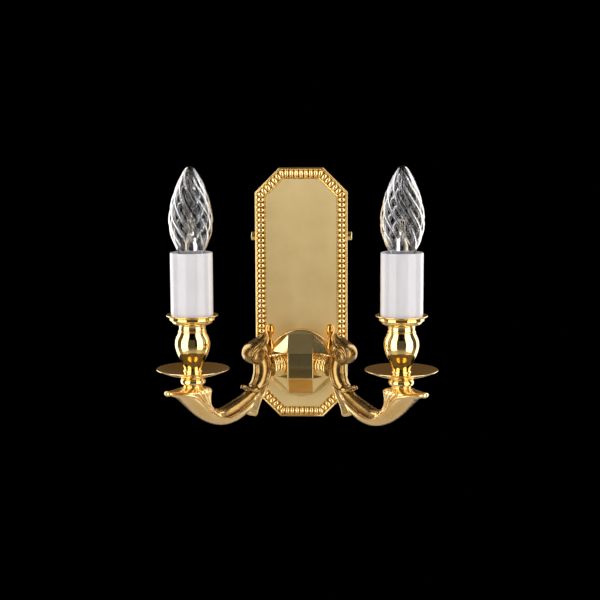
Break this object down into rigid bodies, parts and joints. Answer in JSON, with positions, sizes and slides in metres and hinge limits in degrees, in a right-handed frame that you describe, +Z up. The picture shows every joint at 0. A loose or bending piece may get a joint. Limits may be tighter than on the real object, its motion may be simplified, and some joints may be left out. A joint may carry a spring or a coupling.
{
  "type": "double arm wall sconce",
  "caption": "Wall light with an eight-sided brass cover, a faceted boss and scroll arms that carry drip pans, vases and candle lamps.",
  "frame": {"origin": "middle of the two wall screw holes, in the wall plane, which is also the middle of the cover", "axes": "+Z up, +Y into the wall, +X to the right seen from the front"},
  "size_m": [0.2186, 0.1293, 0.2128],
  "materials": {
    "polished_brass": "polished, clear lacquered",
    "cast_brass": "cast and polished",
    "satin_brass": "satin field, polished rim and beads",
    "screw_brass": "turned",
    "zinc_steel": "zinc plated",
    "sleeve_white": "glossy",
    "holder_black": "moulded",
    "block_ivory": "moulded",
    "lead_sheath": "extruded",
    "contact_brass": "rolled",
    "bulb_glass": "clear",
    "mount_glass": "clear, pressed",
    "insulator_glass": "dark moulded glass",
    "cap_metal": "rolled thread shell",
    "solder": "soldered",
    "nickel_wire": "drawn",
    "tungsten": "coiled"
  },
  "bodies": {
    "fixture": {"wall_bracket": "zinc_steel", "backplate": "satin_brass", "terminal_block": "block_ivory", "terminal_tubes": "contact_brass", "terminal_screws": "screw_brass", "earth_screw": "screw_brass", "boss": "polished_brass", "boss_screws": "zinc_steel", "side_screw_left": "screw_brass", "arm_nipple_left": "zinc_steel", "arm_locknut_left": "zinc_steel", "collar_left": "polished_brass", "arm_left": "cast_brass", "arm_wire_left": "lead_sheath", "seat_ring_left": "polished_brass", "drip_pan_left": "polished_brass", "vase_left": "polished_brass", "candle_cup_left": "polished_brass", "stem_tube_left": "zinc_steel", "lampholder_body_left": "holder_black", "lampholder_shell_left": "contact_brass", "lampholder_contact_left": "contact_brass", "side_screw_right": "screw_brass", "arm_nipple_right": "zinc_steel", "arm_locknut_right": "zinc_steel", "collar_right": "polished_brass", "arm_right": "cast_brass", "arm_wire_right": "lead_sheath", "seat_ring_right": "polished_brass", "drip_pan_right": "polished_brass", "vase_right": "polished_brass", "candle_cup_right": "polished_brass", "stem_tube_right": "zinc_steel", "lampholder_body_right": "holder_black", "lampholder_shell_right": "contact_brass", "lampholder_contact_right": "contact_brass"},
    "candle_sleeve_left": {"candle_sleeve_left": "sleeve_white"},
    "bulb_left": {"bulb_glass_left": "bulb_glass", "bulb_stem_left": "mount_glass", "bulb_leads_left": "nickel_wire", "bulb_filament_left": "tungsten", "bulb_cap_left": "cap_metal", "bulb_insulator_left": "insulator_glass", "bulb_contact_left": "solder"},
    "candle_sleeve_right": {"candle_sleeve_right": "sleeve_white"},
    "bulb_right": {"bulb_glass_right": "bulb_glass", "bulb_stem_right": "mount_glass", "bulb_leads_right": "nickel_wire", "bulb_filament_right": "tungsten", "bulb_cap_right": "cap_metal", "bulb_insulator_right": "insulator_glass", "bulb_contact_right": "solder"}
  },
  "joints": [
    {"name": "bulb_left_out", "type": "slide", "parent": "fixture", "child": "bulb_left", "axis": [0, 0, 1], "range_m": [0, 0.03]},
    {"name": "sleeve_left_lift", "type": "slide", "parent": "fixture", "child": "candle_sleeve_left", "axis": [0, 0, 1], "range_m": [0, 0.006]},
    {"name": "bulb_right_out", "type": "slide", "parent": "fixture", "child": "bulb_right", "axis": [0, 0, 1], "range_m": [0, 0.03]},
    {"name": "sleeve_right_lift", "type": "slide", "parent": "fixture", "child": "candle_sleeve_right", "axis": [0, 0, 1], "range_m": [0, 0.006]}
  ]
}
